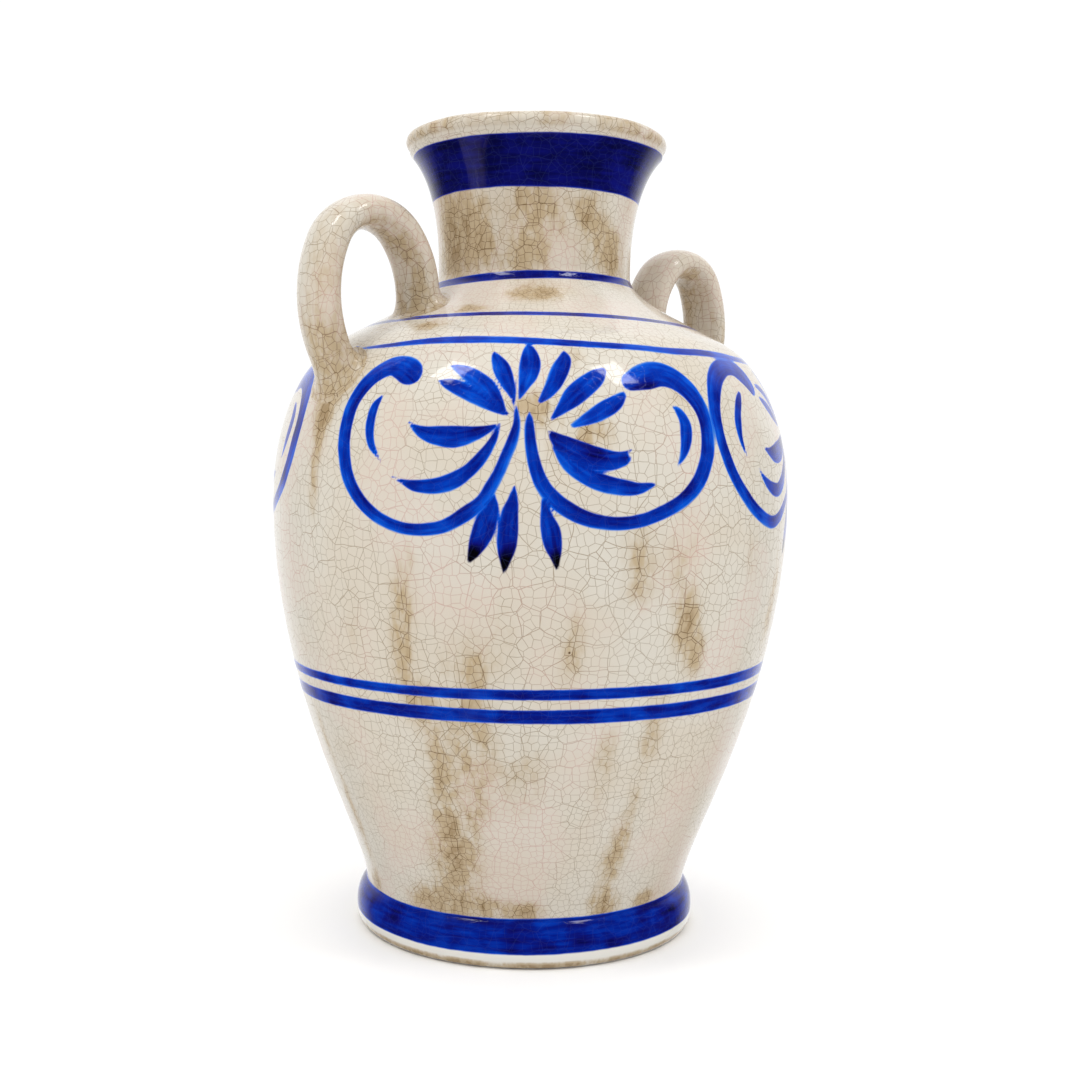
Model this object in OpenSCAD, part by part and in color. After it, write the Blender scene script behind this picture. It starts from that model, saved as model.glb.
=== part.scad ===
// Two-handled glazed pottery vase, built up the way a potter joins it:
// a foot ring, a lower and an upper thrown section, a neck with a rolled lip,
// and two strap handles, each luted on with a coil of soft clay at both roots.
// Millimetres. +Z is up, the origin is the centre of the resting face, and the
// handles stand on the X axis.

/* [Foot] */
// Height of the foot ring, up to the notch under the body
foot_h = 16; // [12:0.5:24]
// Widest radius of the foot ring
foot_r = 63.5; // [61:0.5:80]
// Outer radius of the flat resting face
foot_base_r = 60.5; // [56:0.5:62]
// Inner radius of the foot ring, where the base of the body sits in it
foot_bore_r = 50; // [40:0.5:51]
// Depth of the hollow under the base
foot_recess = 4; // [3:0.5:8]

/* [Body] */
// Radius of the notch where the body leaves the foot
notch_r = 59.9; // [56:0.1:61]
// Height of the widest level above the foot
lower_h = 143; // [110:1:180]
// Largest radius of the belly
belly_r = 95.5; // [80:0.5:120]
// Height of the shoulder's turn above the widest level
upper_h = 57; // [45:1:75]
// How far the shoulder's turn lies in from the belly
shoulder_in = 24.5; // [18:0.5:40]
// Slope of the shoulder under the neck, in degrees
shoulder_slope = 27.5; // [20:0.5:35]
// Height of the neck's waist above the shoulder's turn
collar_h = 25; // [18:0.5:34]
// Height of the joint between the two thrown sections
seam_z = 95.3; // [70:0.1:120]

/* [Neck] */
// Radius of the neck at its waist
neck_r = 35.8; // [29:0.1:44]
// Height of the mouth's edge above the waist
neck_h = 43.8; // [34:0.1:56]
// Outer radius of the mouth's edge, under the lip
mouth_r = 46.8; // [44:0.1:58]
// Flare of the mouth's edge from upright, in degrees
mouth_flare = 43; // [30:1:50]
// Height of the joint between shoulder and neck below the waist
neck_seam_drop = 4; // [2:0.5:6]
// Radius of the rolled lip's section
lip_r = 3.8; // [3:0.1:5]

/* [Walls] */
// Thickness of the body's wall
wall = 6; // [4:0.5:8]
// Thickness of the neck's wall at the mouth
mouth_wall = 3.5; // [2.5:0.1:5]
// Thickness of the floor
floor_t = 8; // [5:0.5:12]
// Rise of the bevelled joint across the wall
bevel = 3; // [1:0.5:4]

/* [Handles] */
// Width of the strap at the arch, across the handle
strap_w = 21.2; // [16:0.2:26]
// Thickness of the strap at the arch, with fully rounded edges
strap_t = 11.8; // [9:0.2:15]
// How much thicker and wider the legs are than the arch
leg_swell = 0.4; // [0.2:0.1:1.5]
// Distance of an arch's outer side in from the belly's radius, to the middle of the strap
arch_in = 6; // [3:0.1:10]
// Height of an arch's centre above the shoulder's turn
arch_rise = 23.5; // [18:0.5:32]
// Radius of the left arch, to the middle of the strap
arch_r_left = 16.5; // [14:0.1:20]
// Radius of the right arch, to the middle of the strap
arch_r_right = 13.6; // [12:0.1:20]
// Angle at which the arch turns into the inner leg
inner_turn = 145; // [135:1:155]
// Angle at which the arch turns into the outer leg
outer_turn = 23; // [10:1:35]
// Radius of the inner leg's bend
inner_leg_r = 38; // [30:1:50]
// Radius of the outer leg's bend
outer_leg_r = 46; // [38:1:60]
// Radius of the coil of clay round each root
coil_r = 3.2; // [2:0.1:4]

/* [Hidden] */

// Smoothness of the round surfaces, and steps along one curve of the outline
$fn = 96;
steps = 14;

// Levels of the outline
belly_z = foot_h + lower_h;
turn_z = belly_z + upper_h;
waist_z = turn_z + collar_h;
mouth_z = waist_z + neck_h;
neck_seam_z = waist_z - neck_seam_drop;
floor_z = foot_recess + floor_t;
turn_r = belly_r - shoulder_in;

// Lengths of the tangents that shape the curves between the levels
notch_pull = 19;
notch_lean = 6;
belly_pull_down = 0.5 * lower_h;
belly_pull_up = 0.5 * upper_h;
turn_pull_out = 15;
turn_pull_in = 25;
waist_pull_down = 7.5;
waist_pull_up = 5;
mouth_pull = 17;

function mix3(p, t) =
    pow(1 - t, 3) * p[0] + 3 * t * pow(1 - t, 2) * p[1]
    + 3 * t * t * (1 - t) * p[2] + pow(t, 3) * p[3];

// Points of one curve, without its last point
function curve(a, b, c, d) = [for (i = [0 : steps - 1]) mix3([a, b, c, d], i / steps)];

// Outer surface from the notch to the mouth's edge, as [radius, height]
notch = [notch_r, foot_h];
belly = [belly_r, belly_z];
turn = [turn_r, turn_z];
waist = [neck_r, waist_z];
mouth = [mouth_r, mouth_z];
slope_dir = [-cos(shoulder_slope), sin(shoulder_slope)];
outline = concat(
    curve(notch, notch + notch_pull * [sin(notch_lean), cos(notch_lean)],
        belly - [0, belly_pull_down], belly),
    curve(belly, belly + [0, belly_pull_up], turn - turn_pull_out * slope_dir, turn),
    curve(turn, turn + turn_pull_in * slope_dir, waist - [0, waist_pull_down], waist),
    curve(waist, waist + [0, waist_pull_up],
        mouth - mouth_pull * [sin(mouth_flare), cos(mouth_flare)], mouth),
    [mouth]
);
last = len(outline) - 1;

// Inner surface: each outer point moved in along the normal by the wall there
function wall_at(z) = z < waist_z ? wall : wall + (mouth_wall - wall) * (z - waist_z) / neck_h;
function along(i) = outline[min(i + 1, last)] - outline[max(i - 1, 0)];
function inset(i) = let (d = along(i) / norm(along(i)))
    outline[i] + wall_at(outline[i][1]) * [-d[1], d[0]];
bore = [for (i = [0 : last]) inset(i)];

// Radii at a height, and the height of the shoulder at a radius
function outer_r(z) = lookup(z, [for (p = outline) [p[1], p[0]]]);
function inner_r(z) = lookup(z, [for (p = bore) [p[1], p[0]]]);
function shoulder_z(r) = lookup(r, [for (p = outline) if (p[1] >= belly_z && p[1] <= waist_z) p]);

// Parts of the outer and the inner surface that lie between two heights
function outer_between(a, b) =
    concat([[outer_r(a), a]], [for (p = outline) if (p[1] > a && p[1] < b) p], [[outer_r(b), b]]);
function inner_between(a, b) =
    concat([[inner_r(a), a]], [for (p = bore) if (p[1] > a && p[1] < b) p], [[inner_r(b), b]]);
function reversed(list) = [for (i = [len(list) - 1 : -1 : 0]) list[i]];

// Inside corner, which keeps the wall's thickness over the base that sits in the foot ring
corner_z = foot_h + 14;
corner = curve([foot_bore_r - 20, floor_z], [foot_bore_r - 10, floor_z],
    [foot_bore_r, foot_h + 4], [inner_r(corner_z), corner_z]);

// Centres of the arch and of the legs' bends, in the plane of the X axis, for an arch of radius r
function arch_c(r) = [belly_r - arch_in - r, turn_z + arch_rise];
function inner_c(r) = arch_c(r) + (r - inner_leg_r) * [cos(inner_turn), sin(inner_turn)];
function outer_c(r) = arch_c(r) + (r - outer_leg_r) * [cos(outer_turn), sin(outer_turn)];
function inner_leg(r, a) = inner_c(r) + inner_leg_r * [cos(a), sin(a)];
function outer_leg(r, a) = outer_c(r) + outer_leg_r * [cos(a), sin(a)];

// Angles at which the middle of each leg reaches the shoulder
function is_in(p) = p[1] <= shoulder_z(p[0]);
function inner_root(r, a) = is_in(inner_leg(r, a)) ? a : inner_root(r, a + 0.5);
function outer_root(r, a) = is_in(outer_leg(r, a)) ? a : outer_root(r, a - 0.5);
// Turn of each leg below the shoulder, where the body cuts it off
root_run = 18;
// Turn by which a leg laps over the arch
lap = 1;
// Turn of the coils from the shoulder's slope towards square across their legs
coil_lean_left = 4;
coil_lean_right = 5.5;

// Tilt of the shoulder's surface under a root, in degrees from level
function tilt(x) = atan2(shoulder_z(x - 3) - shoulder_z(x + 3), 6);

// Everything inside the outer surface, to cut what sits on the body
module body_mass() {
    rotate_extrude() polygon(concat([[0, foot_h]], outline, [[0, mouth_z]]));
}

// Half the distance between the two round edges of the strap
half_flat = (strap_w - strap_t) / 2;

// Section of the strap: thickness along X, width along Y
module strap_section(swell) {
    t = strap_t + swell;
    square([t, 2 * half_flat], center = true);
    for (s = [-1, 1]) translate([0, s * half_flat]) circle(d = t);
}

// One bend of the strap, about a centre in the plane of the handle
module strap_bend(centre, r, from, to, swell) {
    translate([centre[0], 0, centre[1]]) rotate([90, 0, 0]) rotate([0, 0, from])
        rotate_extrude(angle = to - from) translate([r, 0]) strap_section(swell);
}

// The legs lap over the ends of the arch
module strap(r) {
    strap_bend(arch_c(r), r, outer_turn, inner_turn, 0);
    strap_bend(inner_c(r), inner_leg_r, inner_turn - lap,
        inner_root(r, inner_turn) + root_run, leg_swell);
    strap_bend(outer_c(r), outer_leg_r, outer_root(r, outer_turn) - root_run,
        outer_turn + lap, leg_swell);
}

// A coil of clay laid on the shoulder round a root, as long as the strap is wide
module coil(at, lean) {
    ring_r = (strap_t + leg_swell + coil_r) / 2;
    translate([at[0], 0, at[1]]) rotate([0, tilt(at[0]) - lean, 0]) {
        for (s = [-1, 1]) translate([0, s * half_flat, 0]) rotate([0, 0, s > 0 ? 0 : 180])
            rotate_extrude(angle = 180) translate([ring_r, 0]) circle(r = coil_r);
        for (s = [-1, 1]) translate([s * ring_r, half_flat, 0]) rotate([90, 0, 0])
            cylinder(r = coil_r, h = 2 * half_flat);
    }
}

module foot_ring() {
    widest = [foot_r, 0.4 * foot_h];
    color("midnightblue") rotate_extrude() polygon(concat(
        [[foot_bore_r, 0]],
        curve([foot_base_r, 0], [foot_base_r + 1.8, 0], [foot_r, 0.15 * foot_h], widest),
        curve(widest, [foot_r, 0.7 * foot_h], [notch_r + 2, 0.86 * foot_h], notch),
        [notch, [foot_bore_r, foot_h]]
    ));
}

module lower_body() {
    color("antiquewhite") rotate_extrude() polygon(concat(
        [[0, foot_recess], [foot_bore_r, foot_recess], [foot_bore_r, foot_h]],
        outer_between(foot_h, seam_z),
        reversed(inner_between(corner_z, seam_z + bevel)),
        reversed(corner),
        [[0, floor_z]]
    ));
}

module upper_body() {
    color("linen") rotate_extrude() polygon(concat(
        outer_between(seam_z, neck_seam_z),
        reversed(inner_between(seam_z + bevel, neck_seam_z + bevel))
    ));
}

module neck() {
    color("antiquewhite") rotate_extrude() polygon(concat(
        outer_between(neck_seam_z, mouth_z),
        reversed(inner_between(neck_seam_z + bevel, mouth_z))
    ));
}

// The lip rests on the neck's top edge, which is as wide as the flat under it
module lip() {
    edge_in = inner_r(mouth_z);
    half_edge = (mouth_r - edge_in) / 2;
    seat = sqrt(lip_r * lip_r - half_edge * half_edge);
    color("seashell") rotate_extrude() translate([mouth_r - half_edge, mouth_z + seat])
        difference() {
            circle(r = lip_r);
            translate([-lip_r, -seat - lip_r]) square([2 * lip_r, lip_r]);
        }
}

module handle(r) {
    difference() {
        strap(r);
        body_mass();
    }
}

module root_coils(r, lean) {
    difference() {
        coil(inner_leg(r, inner_root(r, inner_turn)), lean);
        body_mass();
        strap(r);
    }
    difference() {
        coil(outer_leg(r, outer_root(r, outer_turn)), lean);
        body_mass();
        strap(r);
    }
}

module handle_left() { color("wheat") mirror([1, 0, 0]) handle(arch_r_left); }

module handle_right() { color("wheat") handle(arch_r_right); }

module root_coils_left() {
    color("tan") mirror([1, 0, 0]) root_coils(arch_r_left, coil_lean_left);
}

module root_coils_right() {
    color("tan") root_coils(arch_r_right, coil_lean_right);
}

foot_ring();
lower_body();
upper_body();
neck();
lip();
handle_left();
handle_right();
root_coils_left();
root_coils_right();
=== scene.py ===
"""Looks of a two-handled talavera pottery vase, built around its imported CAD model.

The thrown sections are revolved from the same outline as the CAD part, each as a closed shell
with a slight unevenness that all sections share. The two strap handles are swept and run into
the shoulder in soft fillets. The cobalt brush strokes are kept on the meshes as attributes: the
distance to the edge of the nearest stroke, its tone, and the way the brush went. One glaze
material turns them into paint under a crackled, stained cream glaze.

Sizes in the code are millimetres and degrees unless a name says otherwise. Azimuth is 0 towards
-Y and 90 towards +X. The handles stand on the X axis.
"""

import math

import bpy
import numpy as np
from mathutils import Matrix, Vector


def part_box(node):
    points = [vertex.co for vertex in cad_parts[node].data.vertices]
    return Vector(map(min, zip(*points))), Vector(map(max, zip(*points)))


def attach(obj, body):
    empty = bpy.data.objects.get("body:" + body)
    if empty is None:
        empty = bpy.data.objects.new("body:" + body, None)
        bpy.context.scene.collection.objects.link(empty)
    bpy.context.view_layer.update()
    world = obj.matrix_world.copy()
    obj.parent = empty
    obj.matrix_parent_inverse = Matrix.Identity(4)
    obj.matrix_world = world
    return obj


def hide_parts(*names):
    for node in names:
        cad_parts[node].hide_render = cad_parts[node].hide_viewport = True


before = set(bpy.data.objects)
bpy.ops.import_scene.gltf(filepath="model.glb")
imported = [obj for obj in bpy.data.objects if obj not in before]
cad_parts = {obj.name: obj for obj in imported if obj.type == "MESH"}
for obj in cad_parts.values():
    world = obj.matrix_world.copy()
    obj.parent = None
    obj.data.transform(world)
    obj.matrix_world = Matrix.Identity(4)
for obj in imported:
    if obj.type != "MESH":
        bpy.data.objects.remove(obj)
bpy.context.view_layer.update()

MM = 0.001
SEED = 7

# ---- sizes, from the CAD model


def box_mm(node):
    """Lowest and highest corners of a CAD node, in millimetres."""
    low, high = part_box(node)
    return np.array(low) / MM, np.array(high) / MM


FOOT_LOW, FOOT_HIGH = box_mm("foot_ring")
BELLY_R = box_mm("upper_body")[1][0]
FOOT_R = FOOT_HIGH[0]
FOOT_H = FOOT_HIGH[2]
RECESS_Z = box_mm("lower_body")[0][2]
SEAM_Z = box_mm("upper_body")[0][2]
NECK_SEAM_Z = box_mm("neck")[0][2]
MOUTH_Z = box_mm("neck")[1][2]
LIP_TOP = box_mm("lip")[1][2]
LIP_REACH = box_mm("lip")[1][0]

# Levels, radii and walls, as in part.scad
NOTCH_R = 59.9
LOWER_H = 143.0
UPPER_H = 57.0
BELLY_Z = FOOT_H + LOWER_H
TURN = (BELLY_R - 24.5, BELLY_Z + UPPER_H)
WAIST = (35.8, TURN[1] + 25.0)
MOUTH_R = 46.8
MOUTH_FLARE = 43
SHOULDER_SLOPE = 27.5
FOOT_BASE_R = 60.5
FOOT_BORE_R = 50.0
FLOOR_Z = RECESS_Z + 8.0
WALL = 6.0
MOUTH_WALL = 3.5
BEVEL = 3.0

# Lengths of the tangents that shape the outline's curves, as in part.scad
NOTCH_PULL = 19
NOTCH_LEAN = 6
BELLY_PULL_DOWN = 0.5 * LOWER_H
BELLY_PULL_UP = 0.5 * UPPER_H
TURN_PULL_OUT = 15
TURN_PULL_IN = 25
WAIST_PULL_DOWN = 7.5
WAIST_PULL_UP = 5
MOUTH_PULL = 17


def direction(degrees):
    """Unit vector in the plane of the outline, leaning outwards from upright."""
    a = math.radians(degrees)
    return np.array([math.sin(a), math.cos(a)])


def bezier(a, b, c, d, steps):
    """Points of a cubic curve, or of many curves at once, one row for each step."""
    a, b, c, d = (np.array(p, float) for p in (a, b, c, d))
    t = np.linspace(0, 1, steps).reshape((-1,) + (1,) * a.ndim)
    return (1 - t) ** 3 * a + 3 * t * (1 - t) ** 2 * b + 3 * t * t * (1 - t) * c + t ** 3 * d


def make_outline():
    """Outer surface from the notch to the mouth's edge, as rows of (radius, height)."""
    notch = np.array([NOTCH_R, FOOT_H])
    belly = np.array([BELLY_R, BELLY_Z])
    turn, waist = np.array(TURN), np.array(WAIST)
    mouth = np.array([MOUTH_R, MOUTH_Z])
    slope = -direction(SHOULDER_SLOPE + 90)
    curves = [
        bezier(notch, notch + NOTCH_PULL * direction(NOTCH_LEAN),
               belly - (0, BELLY_PULL_DOWN), belly, 240),
        bezier(belly, belly + (0, BELLY_PULL_UP), turn - TURN_PULL_OUT * slope, turn, 160),
        bezier(turn, turn + TURN_PULL_IN * slope, waist - (0, WAIST_PULL_DOWN), waist, 120),
        bezier(waist, waist + (0, WAIST_PULL_UP),
               mouth - MOUTH_PULL * direction(MOUTH_FLARE), mouth, 120),
    ]
    return np.concatenate([curves[0]] + [curve[1:] for curve in curves[1:]])


OUTLINE = make_outline()
STEP_LENGTHS = np.linalg.norm(np.diff(OUTLINE, axis=0), axis=1)
ARC = np.concatenate([[0], np.cumsum(STEP_LENGTHS)])
ARC -= np.interp(BELLY_Z, OUTLINE[:, 1], ARC)

# Heights run on past the outline's ends, so that the foot and the lip have a place on it too
PAST_LIP = LIP_TOP + 5
HEIGHTS = np.concatenate([[0], OUTLINE[:, 1], [PAST_LIP]])
ARCS = np.concatenate([[ARC[0] - FOOT_H], ARC, [ARC[-1] + PAST_LIP - MOUTH_Z]])

# Height on a map of the surface that keeps shapes: each step counts as its share of the radius
MEAN_R = (OUTLINE[1:, 0] + OUTLINE[:-1, 0]) / 2
MAP_HEIGHT = np.concatenate([[0], np.cumsum(STEP_LENGTHS / MEAN_R)])


def arc_at(z):
    """Distance along the surface from the widest level, positive upwards."""
    return np.interp(z, HEIGHTS, ARCS)


def height_at(arc):
    """Height of a distance along the surface."""
    return np.interp(arc, ARCS, HEIGHTS)


def radius_at(z):
    """Outer radius at a height."""
    return np.interp(z, OUTLINE[:, 1], OUTLINE[:, 0])


def outward_at(z):
    """Outward normal of the outline at a height, as (radial, up)."""
    d = np.stack([radius_at(z + 0.4) - radius_at(z - 0.4), np.full_like(z, 0.8)], axis=-1)
    d /= np.linalg.norm(d, axis=-1, keepdims=True)
    return np.stack([d[..., 1], -d[..., 0]], axis=-1)


# ---- the hand-made unevenness of the clay


def unevenness(azimuth, z):
    """How far the surface stands out from the true turned shape: ovality and throwing rings."""
    a = np.radians(azimuth)
    oval = 0.16 * np.sin(2 * a + 1.1 + 0.004 * z) + 0.10 * np.sin(3 * a - 0.6 + 0.011 * z)
    dents = 0.07 * np.sin(5 * a + 0.035 * z) * np.sin(0.045 * z + 2 * a)
    rings = 0.035 * np.sin(2 * math.pi * z / 11.5 + a) * np.clip((235 - z) / 30, 0, 1)
    return oval + dents + rings


def spun(azimuth, radial, up):
    """Points or directions in space from their azimuth, their radial part and their height."""
    a = np.radians(azimuth)
    return np.stack([radial * np.sin(a), -radial * np.cos(a), up + 0 * a], axis=-1)


def place(azimuth, r, z):
    """Points in space, with the unevenness, for azimuths, radii and heights."""
    return spun(azimuth, r + unevenness(azimuth, z) * np.clip(r / 30, 0, 1), z)


# ---- the cobalt painting

# Strokes are rows of (degrees, millimetres, half width). Degrees run to the viewer's right from
# the motif's middle, and millimetres run up the surface from the widest level.
MM_PER_DEGREE = math.radians(BELLY_R - 5.5)

# The azimuth that the camera looks from, the distance given to points far from any stroke, and
# how near two strokes come before their paint runs together
FRONT = -38.8
FAR_FROM_PAINT = 6.0
FLOW = 0.7

SCROLL_RIGHT = [
    (21, 41, 3.4), (24.5, 43, 4.8), (28, 44.4, 4.9), (31.5, 43.2, 4.6), (34.6, 39.5, 4.1),
    (36.9, 34, 3.4), (37.8, 28, 2.9), (37.6, 21, 2.9), (36.4, 14, 2.8), (34.2, 7.8, 2.7),
    (31, 2.8, 2.5), (27, -0.8, 2.3), (22, -3.9, 2.2), (17, -5.1, 2.25), (12, -4.3, 2.4),
    (8.2, -2, 2.6), (4.9, 1.5, 2.6), (2.4, 6, 2.4), (0.9, 11.5, 2.1), (0, 17.5, 1.9),
    (-0.4, 23, 1.7), (-0.5, 27, 1.2), (-0.5, 29.7, 0.2),
]
SCROLL_INNER_END = [
    (-7.4, 6, 2), (-6.1, 10, 1.9), (-4.9, 15, 1.8), (-3.7, 20, 1.8), (-2.95, 26, 1.2),
    (-3.3, 31, 0.6), (-3.9, 32.4, 0.2),
]
SCROLL_LEFT = [
    (-26.5, 42.3, 3.5), (-27.4, 43.3, 4.7), (-29.2, 45, 4.7), (-31.8, 46, 4), (-34.2, 45, 3.8),
    (-37, 42, 3.5), (-39.2, 37.5, 3.3), (-40.6, 32, 3), (-41, 26, 2.9), (-40.8, 20, 2.8),
    (-40, 14, 2.7), (-38.6, 8, 2.6), (-36.3, 2.5, 2.4), (-33, -2.5, 2.2), (-29, -6, 2.1),
    (-24.5, -8, 2), (-20, -8, 2.1), (-16, -6.5, 2.2), (-12, -2.5, 2.4), (-9, 1.5, 2.1),
] + SCROLL_INNER_END
SCROLL_LEFT_TALL = [
    (-22.4, 40.2, 2.4), (-22.5, 43.5, 4.6), (-24.7, 47, 5.2), (-28.2, 48.6, 3.7),
    (-31.7, 48.5, 3.6), (-35.2, 46.2, 3.7), (-38.1, 42.5, 3.6), (-40.1, 37.5, 3.3),
    (-41.3, 31.5, 2.8), (-41.5, 26, 2.4), (-41, 20, 2.4), (-39.7, 14, 2.4), (-37.7, 8.5, 2.4),
    (-35.1, 3.8, 2.4), (-31.9, -0.5, 2.4), (-28.2, -3.8, 2.4), (-24.2, -6, 2.4), (-20.7, -6.3, 2.3),
    (-16.7, -4.4, 2.2), (-13.2, -1.2, 2), (-9.6, 2.4, 2),
] + SCROLL_INNER_END

PETAL_1 = [
    (-19.8, 39.9, 0.5), (-17.5, 38.9, 2), (-14.5, 37, 2.7), (-11, 34.5, 2.9), (-8, 32, 2.4),
    (-5.5, 29.3, 1), (-4.2, 28.4, 0.3),
]
PETAL_2 = [
    (-17.8, 45.6, 0.6), (-15.5, 44.2, 1.9), (-12.5, 41.5, 2.9), (-9.5, 37.8, 3.2),
    (-7.2, 33.5, 2.2), (-5.2, 29.3, 0.5),
]
PETAL_3 = [
    (-9, 51.5, 0.3), (-8, 48.5, 1.9), (-6.6, 44.5, 3), (-5.3, 40, 2.5), (-4.2, 36, 1.4),
    (-3.6, 32.6, 0.3),
]
PETAL_4 = [
    (-1.3, 54.8, 0.5), (-0.9, 52, 2.3), (-0.6, 47.5, 3.6), (-0.9, 43, 3.4), (-1.7, 38.5, 1.9),
    (-2.5, 34, 0.4),
]
PETAL_5 = [
    (6.9, 51.5, 0.8), (6.9, 48.5, 2.4), (5.7, 44.3, 3.1), (4.5, 40, 2.8), (3, 36, 1.9),
    (1.6, 33.3, 0.8),
]
PETAL_6 = [
    (15.1, 44.6, 1.3), (13.3, 42, 3), (11, 39, 3.6), (8.5, 35.5, 3.5), (6.2, 31.5, 2.1),
    (3.7, 27.3, 0.4),
]
PETAL_7 = [
    (18.7, 36, 1.3), (16.8, 33.3, 2.6), (14, 30.5, 2.9), (11.2, 28, 2.2), (8, 25.6, 0.9),
]
PETAL_1_SHORT = [
    (-18.7, 37.8, 0.9), (-15.7, 35.3, 2.2), (-12.2, 32, 2.3), (-8.7, 29, 1.3),
]
PETAL_2_SHORT = [
    (-17.7, 43, 0.9), (-14.7, 41.8, 2), (-11.2, 38.5, 2.5), (-7.7, 33, 1.8),
]

LEAF_LEFT_HIGH = [
    (-25.2, 26.2, 0.3), (-23.5, 24, 1.2), (-21, 22.3, 2.4), (-18, 21.5, 3.3), (-15, 21.3, 3.6),
    (-12, 22, 2.8), (-9, 23.5, 1.6), (-6.5, 25.3, 0.4),
]
LEAF_LEFT_LOW = [
    (-28, 8.6, 0.2), (-25.5, 6.9, 0.8), (-22.5, 5.6, 1.9), (-19, 5.6, 2.5), (-15.5, 6.9, 2.8),
    (-12, 10.4, 2.3), (-9.3, 15.2, 2), (-7.4, 20.3, 1.3), (-6.2, 25.5, 0.4),
]
LEAF_LEFT_HIGH_2 = [
    (-24.7, 19.9, 0.5), (-22.2, 18.5, 1.6), (-19.2, 17.9, 3.1), (-15.7, 18.7, 3.7),
    (-12.2, 20.3, 3.2), (-9.2, 22.6, 2.2), (-6.7, 24.6, 0.6),
]
LEAF_LEFT_LOW_2 = [
    (-28.7, 12.8, 0.2), (-27.2, 10, 0.9), (-24.7, 7.2, 1.8), (-21.7, 5.3, 2.4), (-18.2, 5.1, 2.5),
    (-14.7, 7.6, 2.5), (-11.7, 11.5, 2.3), (-8.7, 17, 1.6), (-6.7, 24, 0.4),
]
LEAF_RIGHT_HIGH = [
    (3.4, 23.4, 0.5), (5, 20.8, 2.2), (8, 17.8, 3.5), (11.5, 15.5, 3.9), (15, 14.6, 3.3),
    (17.5, 15, 2.4),
]
LEAF_TIP_HIGH = [
    (17, 16, 1), (18.2, 17, 0.7), (19.4, 18.1, 0.2),
]
LEAF_TIP_LOW = [
    (17, 14.5, 1.3), (18.2, 14.8, 1), (19.3, 15.4, 0.4),
]
LEAF_RIGHT_LOW = [
    (4.5, 18.5, 1), (7, 13.5, 2.4), (10.5, 9.5, 2.8), (14, 7.3, 2.9), (17.5, 6.2, 2.7),
    (20.5, 5.9, 2), (23, 6.8, 1.1), (24.2, 7.4, 0.4),
]

CRESCENT_LEFT = [
    (-32.8, 34.8, 0.5), (-34, 31.5, 1.6), (-34.4, 27.5, 1.9), (-34.2, 23, 1.8), (-33.4, 19, 1.5),
    (-32, 15.8, 0.9), (-30.4, 12.8, 0.2),
]
CRESCENT_LEFT_2 = [
    (-29.9, 38.8, 0.9), (-31.4, 36, 1.7), (-33.2, 32, 1.8), (-34.3, 27.5, 1.9), (-34.4, 23, 1.3),
    (-33.8, 19, 0.8), (-32.8, 16.4, 0.2),
]
CRESCENT_RIGHT = [
    (29.8, 33, 0.4), (31.2, 31, 1.5), (32.2, 27.5, 2.2), (32.2, 24, 2.4), (31.7, 20, 2),
    (30.8, 16.5, 1.3), (29.4, 13, 0.3),
]

DROP_LEFT = [
    (-6.8, 3, 0.4), (-7.2, -0.5, 2.1), (-8.2, -5, 3.3), (-9.2, -9.5, 3.3), (-10.4, -14, 2.2),
    (-11.5, -17.5, 0.7),
]
DROP_MIDDLE = [
    (-3.1, 6, 0.4), (-3.3, 2, 1.6), (-3.9, -3, 2.7), (-4.2, -8.5, 3.2), (-4.4, -13, 2.9),
    (-4.6, -17, 1.7), (-4.8, -21, 0.4),
]
DROP_RIGHT = [
    (2.5, 1.5, 1), (3, -3, 1.9), (3.8, -7.5, 3), (4.3, -11.5, 2.8), (4.8, -15.5, 1.7),
    (5.2, -19.3, 0.5),
]

# Each kind of stroke: its tone from 0, thin bright cobalt, to 1, nearly black, how much darker
# it is on the left of the brush's way, and how dark its end is
SCROLL_TONE = (0.44, 0.15, 0.0)
SCROLL_RIGHT_TONE = (0.47, -0.19, 0.0)
PETAL_TONE = (0.40, 0.08, 0.12)
PETAL_6_TONE = (0.50, 0.05, -0.08)
PETAL_7_TONE = (0.40, 0.10, -0.22)
LEAF_TONE = (0.48, 0.12, 0.05)
LEAF_DARK_TONE = (0.64, 0.10, -0.12)
CRESCENT_TONE = (0.40, 0.05, 0.0)
DROP_TONE = (0.52, 0.05, 0.62)

SHARED_STROKES = [
    (SCROLL_RIGHT, SCROLL_RIGHT_TONE),
    (PETAL_3, PETAL_TONE), (PETAL_4, PETAL_TONE), (PETAL_5, PETAL_TONE),
    (PETAL_6, PETAL_6_TONE), (PETAL_7, PETAL_7_TONE),
    (LEAF_RIGHT_LOW, LEAF_TONE), (LEAF_RIGHT_HIGH, LEAF_DARK_TONE),
    (LEAF_TIP_HIGH, LEAF_TONE), (LEAF_TIP_LOW, LEAF_TONE),
    (CRESCENT_RIGHT, CRESCENT_TONE),
    (DROP_LEFT, DROP_TONE), (DROP_MIDDLE, DROP_TONE), (DROP_RIGHT, DROP_TONE),
]
MOTIF_A = SHARED_STROKES + [
    (SCROLL_LEFT, SCROLL_TONE), (CRESCENT_LEFT, CRESCENT_TONE),
    (PETAL_1, PETAL_TONE), (PETAL_2, PETAL_TONE),
    (LEAF_LEFT_HIGH, LEAF_TONE), (LEAF_LEFT_LOW, LEAF_TONE),
]
MOTIF_B = SHARED_STROKES + [
    (SCROLL_LEFT_TALL, SCROLL_TONE), (CRESCENT_LEFT_2, CRESCENT_TONE),
    (PETAL_1_SHORT, PETAL_TONE), (PETAL_2_SHORT, PETAL_TONE),
    (LEAF_LEFT_HIGH_2, LEAF_TONE), (LEAF_LEFT_LOW_2, LEAF_TONE),
]

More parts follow.
